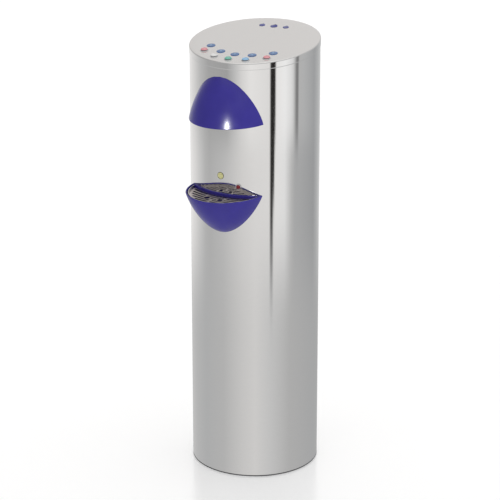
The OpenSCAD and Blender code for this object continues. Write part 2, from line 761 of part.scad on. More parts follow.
module evaporator_coil() color("darkorange") {
    for (z = evap_z) translate([0, 0, z]) rotate_extrude() translate([evap_r, 0]) circle(r = 3.9, $fn = 32);
    for (k = [0:9]) translate([k % 2 == 0 ? -evap_r : evap_r, 0, evap_z[k]]) cylinder(r = 3, h = 14, $fn = 32);
    translate([evap_r, 0, 266]) cylinder(r = 3, h = evap_z[0] - 266, $fn = 32);
    translate([-evap_r, 0, evap_z[10]]) cylinder(r = 3, h = 536 - evap_z[10], $fn = 32);
}

module cold_insulation() color("ivory") for (part = [[273.6, 405], [405.2, 534]]) difference() {
    translate([0, 0, part[0]]) cylinder(r = 100, h = part[1] - part[0]);
    translate([0, 0, 292]) cylinder(r = 81, h = 224);
    translate([0, 0, 200]) cylinder(r = 5.3, h = 400, $fn = 32);
    translate([evap_r, 0, 250]) cylinder(r = 4.2, h = 60, $fn = 32);
    translate([-evap_r, 0, 500]) cylinder(r = 4.2, h = 60, $fn = 32);
}

// ---- hot water ----

module hot_tank() color(steel) translate([hot_at[0], hot_at[1], 0]) difference() {
    union() {
        translate([0, 0, 566]) cylinder(r = hot_r, h = 160);
        translate([0, 0, 725]) cylinder(r = 5, h = 27, $fn = 32);
        translate([hot_r - 2, 0, 580]) rotate([0, 90, 0]) cylinder(r = 5, h = 22, $fn = 32);
    }
    translate([0, 0, 567.2]) cylinder(r = hot_r - 1.2, h = 157.6);
    translate([0, 0, 700]) cylinder(r = 3.6, h = 60, $fn = 32);
    translate([40, 0, 580]) rotate([0, 90, 0]) cylinder(r = 3.6, h = 60, $fn = 32);
    translate([0, 0, 560]) cylinder(r = 16.2, h = 10);
}

// Screw-in element: a flange under the tank and a bent sheath inside it.
module heating_element() color("gray") translate([hot_at[0], hot_at[1], 0]) {
    translate([0, 0, 556]) cylinder(r = 24, h = 9.8);
    translate([0, 0, 565.7]) cylinder(r = 16, h = 6);
    pipe([[-10, 0, 571], [-10, 0, 690], [10, 0, 690], [10, 0, 571]], 4);
    for (x = [-10, 10]) translate([x - 2, -0.5, 548]) cube([4, 1, 8.1]);
}

module hot_insulation() color("ivory") translate([hot_at[0], hot_at[1], 0]) difference() {
    translate([0, 0, 552]) cylinder(r = 72, h = 190);
    translate([0, 0, 565.9]) cylinder(r = hot_r + 0.3, h = 160.5);
    translate([0, 0, 540]) cylinder(r = 24.5, h = 40);
    translate([0, 0, 700]) cylinder(r = 5.3, h = 60, $fn = 32);
    translate([40, 0, 580]) rotate([0, 90, 0]) cylinder(r = 5.3, h = 60, $fn = 32);
}

// ---- water path ----

module water_filter() color("white") translate([filter_at[0], filter_at[1], 0]) {
    translate([0, 0, 600]) cylinder(r1 = 24, r2 = 30, h = 12);
    translate([0, 0, 612]) cylinder(r = 30, h = 167);
    translate([0, 0, 779]) cylinder(r = 33, h = 33);
    for (x = [-12, 12]) translate([x, 0, 811.9]) cylinder(r = 5, h = 8.1, $fn = 32);
    translate([-2, 25, 788]) cube([14, rail_flange_y - filter_at[1] - 25.2, 14]);
}

// Three solenoid valves on one bracket that is screwed to the wrap.
module solenoid_valves() color("dimgray") {
    for (x = valve_x) translate([x, valve_y, valve_z]) {
        translate([-12, -12, -12]) cube(24);
        translate([0, 0, 11.9]) cylinder(r = 15, h = 28);
        translate([0, -22, 0]) rotate([-90, 0, 0]) cylinder(r = 5, h = 44, $fn = 32);
        translate([-5, -4, 39.8]) cube([10, 8, 6]);
    }
    intersection() {
        cylinder(r = liner_r - 1, h = far);
        translate([-62, -150, valve_z - 15]) cube([124, 90, 3.1]);
    }
}

module spout_tube(i) pipe([[valve_x[i + 1], valve_y - 22, valve_z], [valve_x[i + 1], valve_y - 36, valve_z],
    [i * 12, -138, tube_hole_z], [i * 12, -157, tube_hole_z], [i * spout_x, spout_y, tube_hole_z],
    [i * spout_x, spout_y, 897]], 3.4, 5);

module water_tubes() color("whitesmoke") {
    feed = [108, -22];
    supply = [124, 8];
    riser = [valve_x[0], -115];
    ports = [filter_at[0] - 12, filter_at[0] + 12];
    pipe([[48, 96, 72], [48, 62, 72], [supply[0], supply[1], 84], [supply[0], supply[1], 832],
        [ports[1], 20, 832], [ports[1], 20, 820]], tube_r);
    // room-temperature water, and the branch that feeds both tanks
    pipe([[ports[0], 20, 820], [ports[0], 20, 850], [valve_x[1], -32, valve_z],
        [valve_x[1], valve_y + 22, valve_z]], tube_r);
    pipe([[ports[0], 20, 830], [feed[0], feed[1], 830], [feed[0], feed[1], 246],
        [0, 0, 246], [0, 0, 258]], 3.5);
    pipe([[feed[0], feed[1], 580], [hot_at[0] + hot_r + 36, hot_at[1], 580],
        [hot_at[0] + hot_r + 20, hot_at[1], 580]], 3);
    // cold water, from the top of its tank
    translate([0, 0, 535]) cylinder(r = 5.2, h = 9, $fn = 32);
    pipe([[0, 0, 539.6], [riser[0], riser[1], 539.6], [riser[0], riser[1], 800], [valve_x[0], -40, 800],
        [valve_x[0], -40, valve_z], [valve_x[0], valve_y + 22, valve_z]], tube_r);
    // hot water, from the top of its tank
    pipe([[hot_at[0], hot_at[1], 752], [hot_at[0], hot_at[1], 800], [valve_x[2], hot_at[1], 800],
        [valve_x[2], -36, 800], [valve_x[2], -36, valve_z], [valve_x[2], valve_y + 22, valve_z]], tube_r);
    for (i = [-1:1]) spout_tube(i);
}

body_shell();
rear_panel();
case_screws();
lid();
top_ring();
base_plate();
base_trim();
foot_at_corner(-1, -1);  // foot_front_left
foot_at_corner(1, -1);  // foot_front_right
foot_at_corner(-1, 1);  // foot_rear_left
foot_at_corner(1, 1);  // foot_rear_right
frame_rail_left();
frame_rail_right();
tank_shelves();
services_plate();
power_inlet();
rocker_frames();
cooling_rocker();
heating_rocker();
water_inlet();
drain_outlet();
hood();
spout_soffit();
cold_spout();
ambient_spout();
hot_spout();
drip_bowl();
drip_grille();
drain_spigot();
drain_hose();
pilot_lamp_lens();
pilot_lamp_body();
notice_disc();
label_discs();
emblem();
button_bezels();
button_nuts();
button_cap_1();
button_cap_2();
button_cap_3();
button_cap_4();
button_cap_5();
control_board();
compressor();
compressor_grommets();
condenser_coil();
condenser_fins();
fan_frame();
fan_rotor();
filter_drier();
refrigerant_lines();
cold_tank();
evaporator_coil();
cold_insulation();
hot_tank();
heating_element();
hot_insulation();
water_filter();
solenoid_valves();
water_tubes();
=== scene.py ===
import bpy
import json
from math import asin, atan2, cos, pi, radians, sin, sqrt, tan
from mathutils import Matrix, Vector


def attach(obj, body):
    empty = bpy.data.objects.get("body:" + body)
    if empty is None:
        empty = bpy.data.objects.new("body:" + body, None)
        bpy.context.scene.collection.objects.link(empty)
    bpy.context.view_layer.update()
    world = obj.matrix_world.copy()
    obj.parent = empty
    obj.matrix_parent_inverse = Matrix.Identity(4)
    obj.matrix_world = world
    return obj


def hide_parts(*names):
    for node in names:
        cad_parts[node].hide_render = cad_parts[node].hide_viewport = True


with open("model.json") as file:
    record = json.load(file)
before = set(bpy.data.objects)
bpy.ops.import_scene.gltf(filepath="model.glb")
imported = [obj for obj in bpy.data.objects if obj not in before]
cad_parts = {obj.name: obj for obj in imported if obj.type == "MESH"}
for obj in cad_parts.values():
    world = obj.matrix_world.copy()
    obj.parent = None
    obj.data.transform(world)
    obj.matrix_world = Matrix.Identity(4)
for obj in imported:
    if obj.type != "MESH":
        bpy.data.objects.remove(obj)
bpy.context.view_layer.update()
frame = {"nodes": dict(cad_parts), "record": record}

# Sizes shared with the CAD model, in metres
BODY_R = 0.150
LID_R = 0.151
COLUMN_H = 1.027
SLOPE = radians(6.5)
SKIRT = 0.016
SHELL_Z = 0.004
SHEET = 0.0012
HOOD = {"y": -0.098, "z": 0.869, "a": 0.0955, "b": 0.108, "c": 0.130, "p": 0.76}
BOWL = {"y": -0.119, "z": 0.702, "a": 0.0925, "b": 0.108, "c": 0.1015, "p": 0.85}
BACK_R = 0.1531                 # the bowl's inner wall, clear of the column
SEAT_R = BODY_R + 0.0001        # where the hood and the bowl meet the column
SHELL_T = 0.003                 # wall thickness of the hood and the bowl
SOFT_RIM = 0.0011               # rounding of their open edges
PANEL_W = 0.100                 # half the width of the rear panel
PANEL_Z = (0.110, 0.930)
RECESS_W = 0.086                # half the width of the services recess
RECESS_Z = (0.012, 0.104)
GRILLE_DROP = 0.006
NOTICE_Z = 0.743
BUTTON_PITCH = 0.040
BUTTON_ARC_R = 0.112
BUTTON_REACH = 0.1283
LABEL_GAP = 0.0317
ROW_TURN = radians(3.5)
MM = 0.001
CAM_AZ = 31.5
CAM_EL = 19.7
CAM_DISTANCE = 5.475

scene = bpy.context.scene
scene.view_settings.view_transform = "Standard"


# ---- materials ----

def nodes_of(mat):
    mat.use_nodes = True
    tree = mat.node_tree
    tree.nodes.clear()
    out = tree.nodes.new("ShaderNodeOutputMaterial")
    shader = tree.nodes.new("ShaderNodeBsdfPrincipled")
    tree.links.new(shader.outputs["BSDF"], out.inputs["Surface"])
    return tree, shader


def surface(name, dark, light, rough, metal=0.0, grain=90, stretch=(1, 1, 1), bump=0.05, depth=0.0002,
            spread=0.5, **sockets):
    """A material whose colour, roughness and relief all come from one noise of the given grain per metre."""
    mat = bpy.data.materials.new(name)
    tree, shader = nodes_of(mat)
    new, link = tree.nodes.new, tree.links.new
    where = new("ShaderNodeTexCoord")
    scaled = new("ShaderNodeMapping")
    scaled.inputs["Scale"].default_value = stretch
    noise = new("ShaderNodeTexNoise")
    noise.inputs["Scale"].default_value = grain
    noise.inputs["Detail"].default_value = 5
    shade = new("ShaderNodeValToRGB")
    shade.color_ramp.elements[0].position = 0.5 - spread / 2
    shade.color_ramp.elements[0].color = (*dark, 1)
    shade.color_ramp.elements[1].position = 0.5 + spread / 2
    shade.color_ramp.elements[1].color = (*light, 1)
    gloss = new("ShaderNodeMapRange")
    gloss.inputs["From Min"].default_value = 0.3
    gloss.inputs["From Max"].default_value = 0.7
    gloss.inputs["To Min"].default_value = rough[0]
    gloss.inputs["To Max"].default_value = rough[1]
    relief = new("ShaderNodeBump")
    relief.inputs["Strength"].default_value = bump
    relief.inputs["Distance"].default_value = depth
    link(where.outputs["Object"], scaled.inputs["Vector"])
    link(scaled.outputs["Vector"], noise.inputs["Vector"])
    link(noise.outputs["Fac"], shade.inputs["Fac"])
    link(noise.outputs["Fac"], gloss.inputs["Value"])
    link(noise.outputs["Fac"], relief.inputs["Height"])
    link(shade.outputs["Color"], shader.inputs["Base Color"])
    link(gloss.outputs["Result"], shader.inputs["Roughness"])
    link(relief.outputs["Normal"], shader.inputs["Normal"])
    shader.inputs["Metallic"].default_value = metal
    for socket, value in sockets.items():
        shader.inputs[socket.replace("_", " ")].default_value = value
    return mat


def plastic(name, colour, rough=(0.25, 0.35), vary=0.06, grain=120, bump=0.08, **more):
    dark = tuple(c * (1 - vary) for c in colour)
    light = tuple(min(1, c * (1 + vary)) for c in colour)
    return surface(name, dark, light, rough, grain=grain, bump=bump, **more)


def metal(name, colour, rough, vary=0.04, **more):
    dark = tuple(c * (1 - vary) for c in colour)
    light = tuple(min(1, c * (1 + vary)) for c in colour)
    return surface(name, dark, light, rough, metal=1.0, **more)


ROUND = (1, 1, 26)       # brushing that runs round the column
ALONG = (22, 1, 1)       # brushing that runs from front to back

MATS = {
    "stainless": metal("stainless", (0.78, 0.775, 0.77), (0.045, 0.075), vary=0.015, grain=50, stretch=ROUND,
                       bump=0.015, depth=0.00002),
    "steel_lid": metal("steel_lid", (0.79, 0.775, 0.765), (0.2, 0.26), vary=0.015, grain=40, stretch=ALONG,
                       bump=0.02, depth=0.00002),
    "steel_grille": metal("steel_grille", (0.64, 0.57, 0.55), (0.2, 0.32), grain=140, stretch=ALONG,
                          bump=0.08),
    "grille_edge": metal("grille_edge", (0.8, 0.79, 0.79), (0.1, 0.16), grain=140),
    "screw_steel": metal("screw_steel", (0.62, 0.62, 0.63), (0.2, 0.35), grain=400),
    "zinc_steel": metal("zinc_steel", (0.55, 0.56, 0.56), (0.35, 0.5), vary=0.12, grain=60),
    "dark_trim": plastic("dark_trim", (0.05, 0.05, 0.055), (0.5, 0.65)),
    "foot_rubber": plastic("foot_rubber", (0.022, 0.022, 0.023), (0.6, 0.8), vary=0.2, grain=600, bump=0.3),
    "black_plastic": plastic("black_plastic", (0.022, 0.022, 0.024), (0.35, 0.5), grain=500, bump=0.25),
    "green_plastic": plastic("green_plastic", (0.03, 0.26, 0.08), (0.2, 0.3)),
    "red_plastic": plastic("red_plastic", (0.5, 0.03, 0.03), (0.2, 0.3)),
    "brass": metal("brass", (0.72, 0.52, 0.24), (0.2, 0.32), grain=200),
    "white_plastic": plastic("white_plastic", (0.8, 0.8, 0.78), (0.35, 0.5), vary=0.03, grain=300),
    "spout_blue": plastic("spout_blue", (0.08, 0.26, 0.66), (0.15, 0.25)),
    "spout_red": plastic("spout_red", (0.6, 0.05, 0.05), (0.15, 0.25)),
    "blue_plastic": plastic("blue_plastic", (0.042, 0.032, 0.3), (0.2, 0.26), vary=0.05, grain=35, bump=0.03,
                            Specular_IOR_Level=0.28),
    "clear_hose": plastic("clear_hose", (0.72, 0.76, 0.76), (0.15, 0.3), grain=250, Transmission_Weight=0.35),
    "lamp_red": plastic("lamp_red", (0.3, 0.02, 0.03), (0.12, 0.2), grain=500),
    "bezel_chrome": metal("bezel_chrome", (0.78, 0.78, 0.79), (0.06, 0.12), grain=300, bump=0.02),
    "disc_yellow": plastic("disc_yellow", (0.93, 0.9, 0.42), (0.3, 0.4), grain=300),
    "disc_border": plastic("disc_border", (0.16, 0.15, 0.08), (0.3, 0.4), grain=300),
    "label_blue": plastic("label_blue", (0.025, 0.12, 0.34), (0.08, 0.14), grain=250, vary=0.3,
                          Coat_Weight=0.5),
    "emblem_blue": plastic("emblem_blue", (0.03, 0.04, 0.27), (0.1, 0.16), grain=250),
    "label_mark": plastic("label_mark", (0.22, 0.4, 0.62), (0.1, 0.16), grain=250),
    # the caps' metal sides are painted dark: painted shade that stands in for the dark reflection on their
    # sides
    "cap_side_painted_shade": metal("cap_side_painted_shade", (0.17, 0.17, 0.18), (0.1, 0.18), grain=300),
    "cap_pink": plastic("cap_pink", (0.82, 0.34, 0.38), (0.12, 0.2), grain=400, Coat_Weight=0.4),
    "cap_white": plastic("cap_white", (0.86, 0.86, 0.85), (0.12, 0.2), grain=400, vary=0.02, Coat_Weight=0.4),
    "cap_green": plastic("cap_green", (0.16, 0.55, 0.42), (0.12, 0.2), grain=400, Coat_Weight=0.4),
    "cap_light_blue": plastic("cap_light_blue", (0.3, 0.55, 0.8), (0.12, 0.2), grain=400, Coat_Weight=0.4),
    "board_green": plastic("board_green", (0.02, 0.16, 0.06), (0.35, 0.5), vary=0.25, grain=250),
    "compressor_black": plastic("compressor_black", (0.022, 0.022, 0.024), (0.3, 0.45), vary=0.2, grain=90),
    "grommet_rubber": plastic("grommet_rubber", (0.03, 0.03, 0.03), (0.6, 0.8), vary=0.2, grain=500),
    "copper": metal("copper", (0.78, 0.42, 0.26), (0.22, 0.38), vary=0.15, grain=80),
    "fin_aluminium": metal("fin_aluminium", (0.72, 0.73, 0.75), (0.28, 0.4), grain=200),
    "tank_steel": metal("tank_steel", (0.62, 0.62, 0.62), (0.22, 0.34), grain=60, stretch=ROUND),
    "foam": plastic("foam", (0.76, 0.72, 0.58), (0.8, 0.95), vary=0.12, grain=450, bump=0.6, depth=0.0008),
    "valve_plastic": plastic("valve_plastic", (0.12, 0.12, 0.13), (0.4, 0.55), grain=400),
}

for part in frame["record"]["subparts"]:
    node = frame["nodes"][part["node"]]
    node.data.materials.clear()
    node.data.materials.append(MATS[part["material_slot"]])
    node.data.polygons.foreach_set("use_smooth", [True] * len(node.data.polygons))


# ---- shared mesh helpers ----

def piece(name, verts, faces, slot, mat=None, body="cabinet", replaces=(), angle=35):
    mesh = bpy.data.meshes.new(name)
    mesh.from_pydata(verts, [], faces)
    mesh.validate()
    mesh.update()
    mesh.polygons.foreach_set("use_smooth", [True] * len(mesh.polygons))
    mesh.set_sharp_from_angle(angle=radians(angle))
    mesh.materials.append(mat or MATS[slot])
    obj = bpy.data.objects.new(name, mesh)
    scene.collection.objects.link(obj)
    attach(obj, body)
    if replaces:
        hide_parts(*replaces)
    return obj


def strips(rows, faces, offset, closed=False, flip=False):
    """Quads between neighbouring rows of equal length, whose vertices start at offset."""
    n = len(rows[0])
    for i in range(len(rows) - 1):
        for j in range(n if closed else n - 1):
            k = (j + 1) % n
            here = offset + i * n
            quad = (here + j, here + k, here + n + k, here + n + j)
            faces.append(quad[::-1] if flip else quad)


def lid_plane(y, below=0.0):
    return COLUMN_H + y * tan(SLOPE) - below / cos(SLOPE)


# ---- the wrap: one rolled sheet with its rear openings ----

def wrap():
    panel, recess = asin(PANEL_W / BODY_R), asin(RECESS_W / BODY_R)
    edges = {pi + side * (at + beside) for side in (-1, 1) for at in (panel, recess) for beside in (0, 0.008)}
    turns = sorted({2 * pi * i / 240 for i in range(240)} | edges)
    # rows stand 1.5 mm beside every edge, so that the smooth shading stays true next to it
    heights = [SHELL_Z, SHELL_Z + 0.0015, 0.0105, *RECESS_Z, 0.1055, 0.1085, PANEL_Z[0], 0.3, 0.5, 0.7,
               PANEL_Z[1], 0.9315]
    verts, faces = [], []
    for z in heights:
        verts += [(BODY_R * sin(t), -BODY_R * cos(t), z) for t in turns]
    for below in (0.0035, SHEET + 0.0003):
        verts += [(BODY_R * sin(t), -BODY_R * cos(t), lid_plane(-BODY_R * cos(t), below)) for t in turns]
    n = len(turns)
    for i in range(len(heights) + 1):
        low = heights[i] if i < len(heights) else 1
        high = heights[i + 1] if i + 1 < len(heights) else 2
        for j in range(n):
            k = (j + 1) % n
            middle = (turns[j] + (turns[k] if k else 2 * pi)) / 2
            off = abs(middle - pi)
            if off < panel and low >= PANEL_Z[0] and high <= PANEL_Z[1]:
                continue
            if off < recess and low >= RECESS_Z[0] and high <= RECESS_Z[1]:
                continue
            faces.append((i * n + j, i * n + k, (i + 1) * n + k, (i + 1) * n + j))
    obj = piece("wrap", verts, faces, "stainless", replaces=["body_shell"])
    shell = obj.modifiers.new("sheet", "SOLIDIFY")
    shell.thickness = SHEET
    shell.offset = -1
    shell.use_even_offset = True
    edge = obj.modifiers.new("edge", "BEVEL")
    edge.width = 0.0003
    edge.segments = 2
    edge.limit_method = "ANGLE"
    edge.angle_limit = radians(60)
    return obj


# ---- the lid: a sloping cap with a soft edge and a skirt ----

def lid():
    edge = 0.0024
    profile = [(0.3 * LID_R, 0), (0.6 * LID_R, 0), (0.85 * LID_R, 0), (LID_R - edge, 0)]
    profile += [(LID_R - edge + edge * sin(pi * i / 12), edge - edge * cos(pi * i / 12)) for i in range(1, 7)]
    skirt_from = 7
    profile += [(LID_R, edge + 0.0005), (LID_R, SKIRT - 0.0016), (LID_R, SKIRT - 0.0008)]
    profile += [(LID_R - 0.0003, SKIRT), (LID_R - 0.0008, SKIRT), (LID_R - 0.0008, SHEET)]
    count = 256
    verts = [(0, 0, COLUMN_H)]
    for r, below in profile:
        for i in range(count):
            x, y = r * sin(2 * pi * i / count), -r * cos(2 * pi * i / count)
            verts.append((x, y, lid_plane(y, below)))
    faces = [(0, 1 + i, 1 + (i + 1) % count) for i in range(count)]
    strips([[0] * count] * len(profile), faces, 1, closed=True, flip=True)
    obj = piece("lid_cap", verts, faces, "stainless", MATS["steel_lid"], replaces=["lid"])
    obj.data.materials.append(MATS["stainless"])
    for poly in obj.data.polygons:
        if min(poly.vertices) > skirt_from * count:
            poly.material_index = 1


# ---- hood and bowl: domes cut off by the column ----

def share_at(dome, height, inset=0.0):
    """How far the dome has drawn in at a height above its open edge, as a share of its half-axes."""
    return sqrt(max(0.0, 1 - (height / (dome["c"] - inset)) ** (1 / dome["p"])))


def arc(dome, share, inset, wall_r, count):
    """Points of the dome's plan outline at this share, from the wall on one side to the wall on the other."""
    a, b = (dome["a"] - inset) * share, (dome["b"] - inset) * share
    low, high = 0.0, pi
    for _ in range(50):
        t = (low + high) / 2
        if (a * sin(t)) ** 2 + (dome["y"] - b * cos(t)) ** 2 > wall_r ** 2:
            low = t
        else:
            high = t
    if low < 1e-6:
        return [(0.0, -wall_r)] * count
    turns = [low * (2 * i / (count - 1) - 1) for i in range(count)]
    return [(a * sin(t), dome["y"] - b * cos(t)) for t in turns]


def dome_rows(dome, inset, inset_c, wall_r, sign, rows, count, start=0.0):
    """Rows of the dome's surface from its open edge to where it dies into the wall, with their heights."""
    least = (wall_r + dome["y"]) / (dome["b"] - inset)
    first = share_at(dome, start, inset_c)
    result = []
    for i in range(rows + 1):
        f = i / rows
        share = least + (first - least) * cos(f * pi / 2)
        height = (dome["c"] - inset_c) * max(0.0, 1 - share ** 2) ** dome["p"]
        outline = arc(dome, share, inset, wall_r, count)
        result.append([(x, y, dome["z"] + sign * height) for x, y in outline])
    return result


def rim_rows(outer, inner, z, sign, steps=4):
    """Rows that round the open edge over, from the outer outline to the inner one."""
    rows = []
    for side in (0, 1):
        for i in range(steps + 1):
            phi = pi / 2 * i / steps
            across = 0.36 * (1 - cos(phi)) if side == 0 else 1 - 0.36 * (1 - sin(phi))
            lift = SOFT_RIM * (sin(phi) if side == 0 else cos(phi))
            level = z + sign * (SOFT_RIM - lift)
            rows.append([(p[0] + (q[0] - p[0]) * across, p[1] + (q[1] - p[1]) * across, level)
                         for p, q in zip(outer, inner)])
    return rows


def hood():
    count, steps = 121, 44
    outer = dome_rows(HOOD, 0, 0, SEAT_R, 1, steps, count, start=SOFT_RIM)
    inner = dome_rows(HOOD, SHELL_T, 0.0035, SEAT_R, 1, steps, count, start=SOFT_RIM)
    rim = rim_rows(outer[0], inner[0], HOOD["z"], 1)
    rows = outer[::-1] + rim[1:-1] + inner
    verts = [p for row in rows for p in row]
    faces = []
    strips(rows, faces, 0)
    last = len(rows) - 1
    for j in (0, count - 1):
        for i in range(steps):
            quad = (i * count + j, (i + 1) * count + j, (last - i - 1) * count + j, (last - i) * count + j)
            faces.append(quad[::-1] if j == 0 else quad)
    return piece("hood_shell", verts, faces, "blue_plastic", replaces=["hood"])


def bowl():
    count, steps = 121, 44
    outer = dome_rows(BOWL, 0, 0, SEAT_R, -1, steps, count, start=SOFT_RIM)
    inner = dome_rows(BOWL, SHELL_T, SHELL_T, BACK_R, -1, steps, count, start=SOFT_RIM)

    def loops(rows, wall_r):
        """Closes each row along the wall."""
        closed = []
        for row in rows:
            a0 = atan2(row[0][0], -row[0][1])
            a1 = atan2(row[-1][0], -row[-1][1])
            back = [(wall_r * sin(a1 + (a0 - a1) * i / 40), -wall_r * cos(a1 + (a0 - a1) * i / 40), row[0][2])
                    for i in range(1, 40)]
            closed.append(list(row) + back)
        return closed

    outer, inner = loops(outer, SEAT_R), loops(inner, BACK_R)
    rim = rim_rows(outer[0], inner[0], BOWL["z"], -1)
    rows = outer[::-1] + rim[1:-1] + inner
    verts = [p for row in rows for p in row]
    faces = []
    strips(rows, faces, 0, closed=True)
    return piece("bowl_shell", verts, faces, "blue_plastic", replaces=["drip_bowl"])


wrap()
lid()
hood_piece = hood()
bowl_piece = bowl()

# ---- small fittings on the lid and the column ----


def on_lid(x, y, px, py, pz):
    """A point of the lid's own frame, px and py in its plane from the place (x, y), pz above its face."""
    along = y / cos(SLOPE) + py
    return (x + px, along * cos(SLOPE) - pz * sin(SLOPE), COLUMN_H + along * sin(SLOPE) + pz * cos(SLOPE))


def row_place(i, back=0.0):
    """Where button i stands in plan, or what stands behind it by the given distance."""
    x = BUTTON_PITCH * (i - 2)
    y = BUTTON_ARC_R - BUTTON_REACH - sqrt(BUTTON_ARC_R ** 2 - x ** 2) + back
    return x * cos(ROW_TURN) - y * sin(ROW_TURN), x * sin(ROW_TURN) + y * cos(ROW_TURN)


def turned_on_lid(name, place, profile, split, slot, mats, body, replaces=(), count=40):
    """A turned form standing on the lid. Profile points from index split on take the second material."""
    verts, faces = [], []
    for r, h in profile:
        verts += [on_lid(*place, r * sin(2 * pi * k / count), r * cos(2 * pi * k / count), h)
                  for k in range(count)]
    strips([[0] * count] * len(profile), faces, 0, closed=True, flip=False)
    verts.append(on_lid(*place, 0, 0, profile[-1][1]))
    verts.append(on_lid(*place, 0, 0, profile[0][1]))
    top, last = len(verts) - 2, (len(profile) - 1) * count
    faces += [(last + k, last + (k + 1) % count, top) for k in range(count)]
    faces += [((k + 1) % count, k, top + 1) for k in range(count)]
    obj = piece(name, verts, [f[::-1] for f in faces], slot, mats[0], body, replaces, angle=50)
    if len(mats) > 1:
        obj.data.materials.append(mats[1])
        for poly in obj.data.polygons:
            low = min(poly.vertices)
            if top + 1 not in poly.vertices and low >= split * count:
                poly.material_index = 1
    return obj


def caps():
    ring = [(8.0, -4.0), (8.0, 2.1), (7.85, 2.9), (7.4, 3.5), (6.7, 3.8), (6.0, 3.75), (5.5, 3.4), (5.2, 2.8)]
    dome = [(5.1, 2.7), (4.7, 2.95), (3.6, 3.3), (2.0, 3.55)]
    profile = [(r * MM, h * MM) for r, h in ring + dome]
    # each cap's side takes the darkened metal, which is painted shade for the dark reflection on it; the rest
    # takes the cap's own colour
    for i, tint in enumerate(("cap_pink", "cap_white", "cap_green", "cap_light_blue", "cap_pink")):
        turned_on_lid(f"button_{i + 1}", row_place(i), profile, 1, tint, [MATS["cap_side_painted_shade"], MATS[tint]],
                      f"button_cap_{i + 1}", [f"button_cap_{i + 1}"])


def labels():
    edge = [(10.2, 0.0), (10.2, 0.5), (10.05, 0.75), (9.7, 0.92), (9.0, 1.0), (6.0, 1.1), (3.0, 1.16)]
    profile = [(r * MM, h * MM) for r, h in edge]
    for i in range(5):
        place = row_place(i, LABEL_GAP)
        turned_on_lid(f"label_{i + 1}", place, profile, len(profile), "label_blue", [MATS["label_blue"]],
                      "cabinet", ["label_discs"] if i == 0 else ())
        # a plain drop, raised a hair over the resin
        drop = [(2.4 * sin(t), -2.4 * cos(t)) for t in [radians(20 * k) for k in range(-7, 8)]] + [(0, 4.4)]
        top = [on_lid(*place, px * MM, (py - 0.4) * MM, 1.2 * MM) for px, py in drop]
        foot = [on_lid(*place, px * MM, (py - 0.4) * MM, 0.9 * MM) for px, py in drop]
        n = len(drop)
        faces = [tuple(range(n))] + [(k, n + k, n + (k + 1) % n, (k + 1) % n) for k in range(n)]
        piece(f"label_drop_{i + 1}", top + foot, faces, "label_blue", MATS["label_mark"])


def notice():
    """The blank round notice, a thin film that follows the column, with a darker printed border."""
    count = 48
    rings = [(8.4, 0.05), (8.4, 0.45), (8.2, 0.58), (7.3, 0.6), (7.25, 0.58), (4.0, 0.6), (0.01, 0.6)]
    verts, faces = [], []
    for r, h in rings:
        for k in range(count):
            u, v = r * MM * sin(2 * pi * k / count), r * MM * cos(2 * pi * k / count)
            out_r = BODY_R + h * MM
            verts.append((out_r * sin(u / BODY_R), -out_r * cos(u / BODY_R), NOTICE_Z + v))
    strips([[0] * count] * len(rings), faces, 0, closed=True)
    obj = piece("notice", verts, faces, "disc_yellow", replaces=["notice_disc"])
    obj.data.materials.append(MATS["disc_border"])
    for poly in obj.data.polygons:
        if min(poly.vertices) < 3 * count:
            poly.material_index = 1


caps()
labels()
notice()

frame["nodes"]["emblem"].data.materials[0] = MATS["emblem_blue"]

# the grille's upturned edge is polished, its plate is not
grille = frame["nodes"]["drip_grille"]
grille.data.materials.append(MATS["grille_edge"])
for poly in grille.data.polygons:
    if poly.center.z > BOWL["z"] - GRILLE_DROP + 0.0002:
        poly.material_index = 1

# ---- floor, light and camera ----

mesh = bpy.data.meshes.new("floor")
mesh.from_pydata([(30 * sin(2 * pi * i / 96), 30 * cos(2 * pi * i / 96), 0) for i in range(96)], [],
                 [tuple(range(95, -1, -1))])
floor = bpy.data.objects.new("floor", mesh)
scene.collection.objects.link(floor)
pale = plastic("pale_floor", (0.9, 0.9, 0.9), (0.16, 0.2), vary=0.004, grain=3, bump=0.0,
               Emission_Color=(1, 1, 1, 1), Emission_Strength=0.3, IOR=2.2)
mesh.materials.append(pale)
floor.visible_glossy = False


def ramp(tree, stops, fac):
    """A ramp over the azimuth round the camera's direction: stops are (degrees, grey, tint)."""
    node = tree.nodes.new("ShaderNodeValToRGB")
    bar = node.color_ramp.elements
    while len(bar) < len(stops):
        bar.new(0.5)
    for element, (degrees, grey, tint) in zip(bar, stops):
        element.position = degrees / 360 + 0.5
        element.color = (grey * (1 + tint), grey, grey * (1 - tint), 1)
    tree.links.new(fac, node.inputs["Fac"])
    return node.outputs["Color"]


